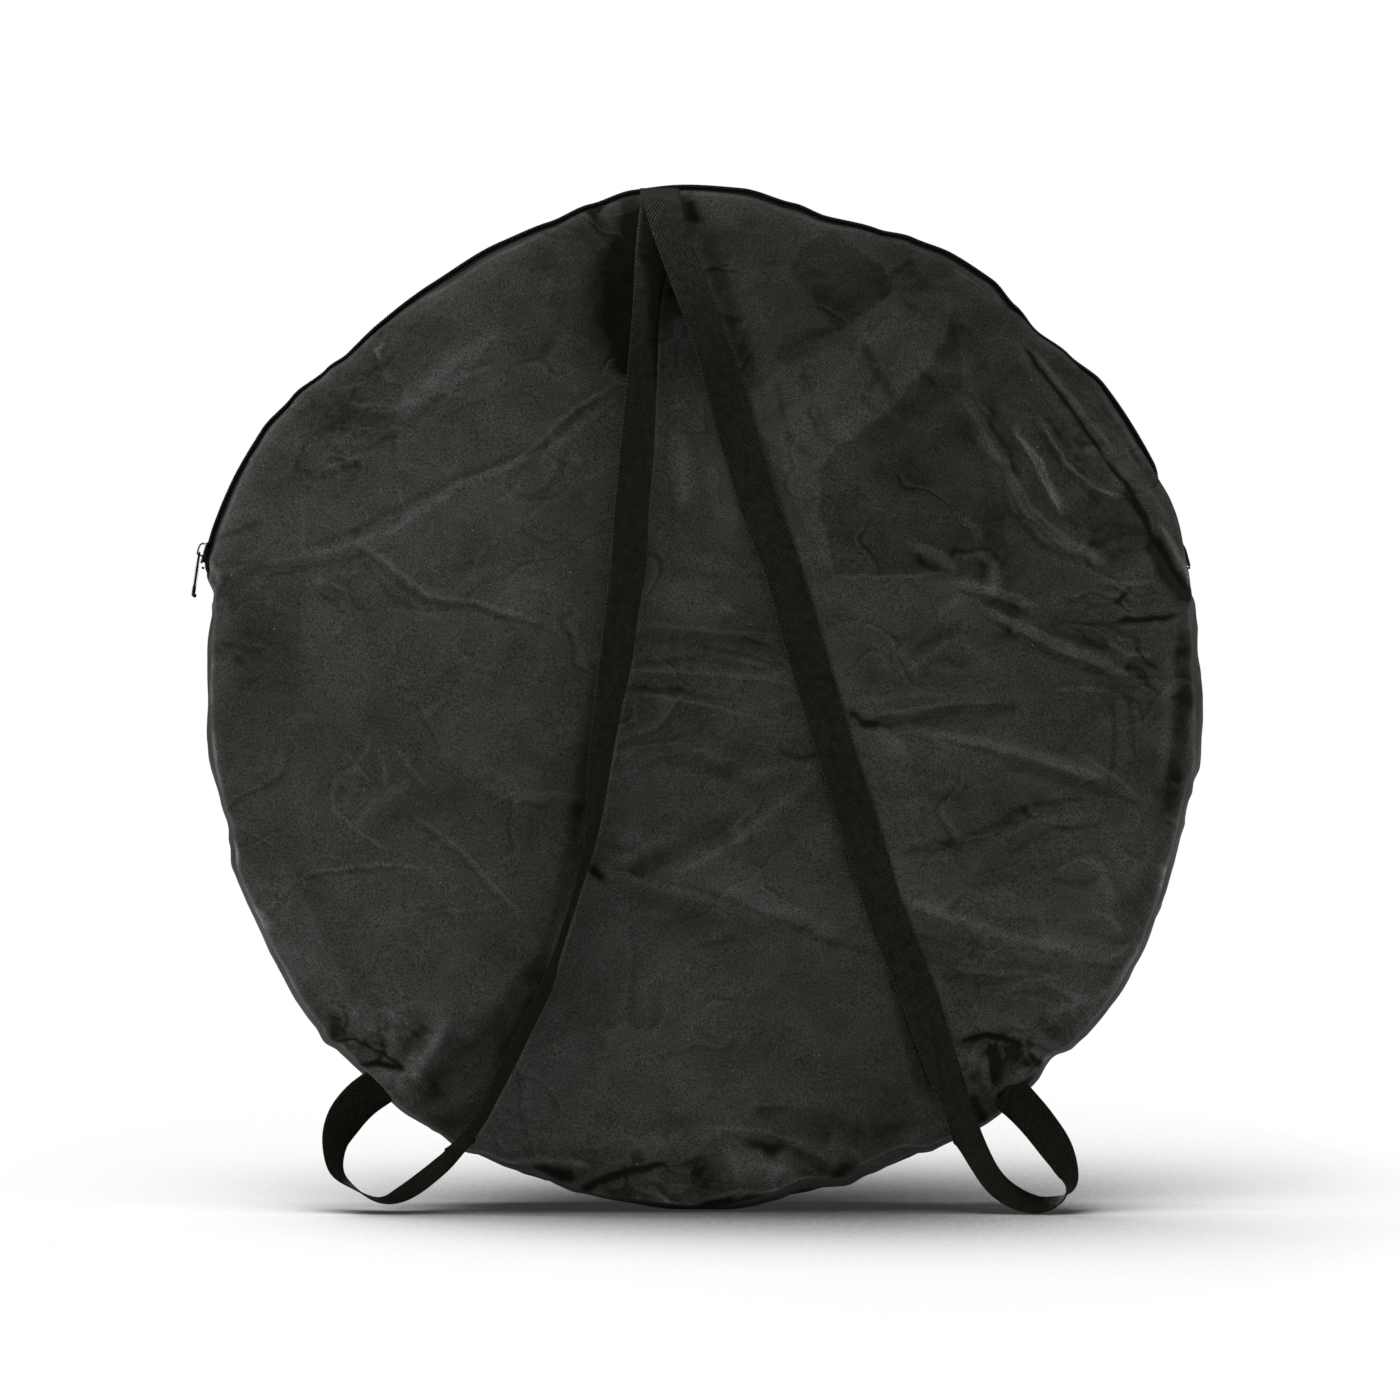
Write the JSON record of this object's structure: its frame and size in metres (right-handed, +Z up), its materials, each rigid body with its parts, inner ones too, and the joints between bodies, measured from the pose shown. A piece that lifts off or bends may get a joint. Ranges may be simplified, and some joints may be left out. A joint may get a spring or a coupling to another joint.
{
  "type": "roundnet set",
  "caption": "Roundnet game set packed in an upright round zip bag with carrying straps; rim, folding legs, net, balls and pump lie inside.",
  "frame": {"origin": "centre of the flat patch on which the standing bag rests, on the ground below the middle of the bag", "axes": "+Z up, -Y out of the front panel, +X to the right of someone who looks at that panel"},
  "size_m": [0.9648, 0.1657, 0.9735],
  "materials": {
    "bag_cloth": "black coated plain-weave polyester with a waxy sheen, creased",
    "gusset_cloth": "black coated plain-weave polyester, creased",
    "zip_tape": "black woven tape",
    "zip_teeth": "black nylon coil",
    "zip_metal": "black painted die casting",
    "webbing": "black ribbed webbing",
    "tube_plastic": "satin yellow plastic tube",
    "joint_plastic": "black moulded nylon",
    "rubber": "black rubber",
    "steel": "satin steel",
    "net_cord": "white braided cord",
    "ball_vinyl": "yellow soft vinyl",
    "pump_plastic": "red moulded plastic"
  },
  "bodies": {
    "bag": {"front_panel": "bag_cloth", "back_panel": "bag_cloth", "lower_gusset": "gusset_cloth", "upper_gusset_front": "gusset_cloth", "upper_gusset_back": "gusset_cloth", "zip_tape_front": "zip_tape", "zip_tape_back": "zip_tape", "zip_teeth_front": "zip_teeth", "zip_teeth_back": "zip_teeth", "zip_end_stops": "zip_teeth", "strap_left": "webbing", "strap_right": "webbing", "rim_tube_1": "tube_plastic", "rim_tube_2": "tube_plastic", "rim_tube_3": "tube_plastic", "rim_tube_4": "tube_plastic", "rim_tube_5": "tube_plastic", "corner_joint_1": "joint_plastic", "corner_joint_2": "joint_plastic", "corner_joint_3": "joint_plastic", "corner_joint_4": "joint_plastic", "corner_joint_5": "joint_plastic", "leg_pins": "steel", "net": "net_cord", "net_hooks": "joint_plastic", "ball_1": "ball_vinyl", "ball_2": "ball_vinyl", "ball_3": "ball_vinyl", "pump_barrel": "pump_plastic", "pump_collar": "joint_plastic"},
    "slider": {"zip_slider": "zip_metal"},
    "pull": {"zip_pull": "zip_metal"},
    "leg_1": {"leg_lug_1": "joint_plastic", "leg_tube_1": "tube_plastic", "leg_foot_1": "rubber"},
    "leg_2": {"leg_lug_2": "joint_plastic", "leg_tube_2": "tube_plastic", "leg_foot_2": "rubber"},
    "leg_3": {"leg_lug_3": "joint_plastic", "leg_tube_3": "tube_plastic", "leg_foot_3": "rubber"},
    "leg_4": {"leg_lug_4": "joint_plastic", "leg_tube_4": "tube_plastic", "leg_foot_4": "rubber"},
    "leg_5": {"leg_lug_5": "joint_plastic", "leg_tube_5": "tube_plastic", "leg_foot_5": "rubber"},
    "pump_plunger": {"pump_rod": "steel", "pump_piston": "rubber", "pump_handle": "joint_plastic", "pump_needle": "steel"}
  },
  "joints": [
    {"name": "zip_travel", "type": "hinge", "parent": "bag", "child": "slider", "pos_m": [0, 0, 0.485], "axis": [0, 1, 0], "range_deg": [0, 146.2]},
    {"name": "pull_swing", "type": "hinge", "parent": "slider", "child": "pull", "pos_m": [-0.47405, 0, 0.62645], "axis": [0, 1, 0], "range_deg": [0, 135]},
    {"name": "leg_1_swing", "type": "hinge", "parent": "bag", "child": "leg_1", "pos_m": [0.004, 0.001, 0.87759], "axis": [-1, 0, 0], "range_deg": [0, 12]},
    {"name": "leg_2_swing", "type": "hinge", "parent": "bag", "child": "leg_2", "pos_m": [-0.39972, 0.001, 0.58427], "axis": [-0.309, 0, -0.9511], "range_deg": [0, 12]},
    {"name": "leg_3_swing", "type": "hinge", "parent": "bag", "child": "leg_3", "pos_m": [-0.24552, 0.001, 0.10966], "axis": [0.809, 0, -0.5878], "range_deg": [0, 12]},
    {"name": "leg_4_swing", "type": "hinge", "parent": "bag", "child": "leg_4", "pos_m": [0.25351, 0.001, 0.10966], "axis": [0.809, 0, 0.5878], "range_deg": [0, 12]},
    {"name": "leg_5_swing", "type": "hinge", "parent": "bag", "child": "leg_5", "pos_m": [0.40772, 0.001, 0.58427], "axis": [-0.309, 0, 0.9511], "range_deg": [0, 12]},
    {"name": "pump_stroke", "type": "slide", "parent": "bag", "child": "pump_plunger", "axis": [0, 0, 1], "range_m": [0, 0.08]}
  ]
}
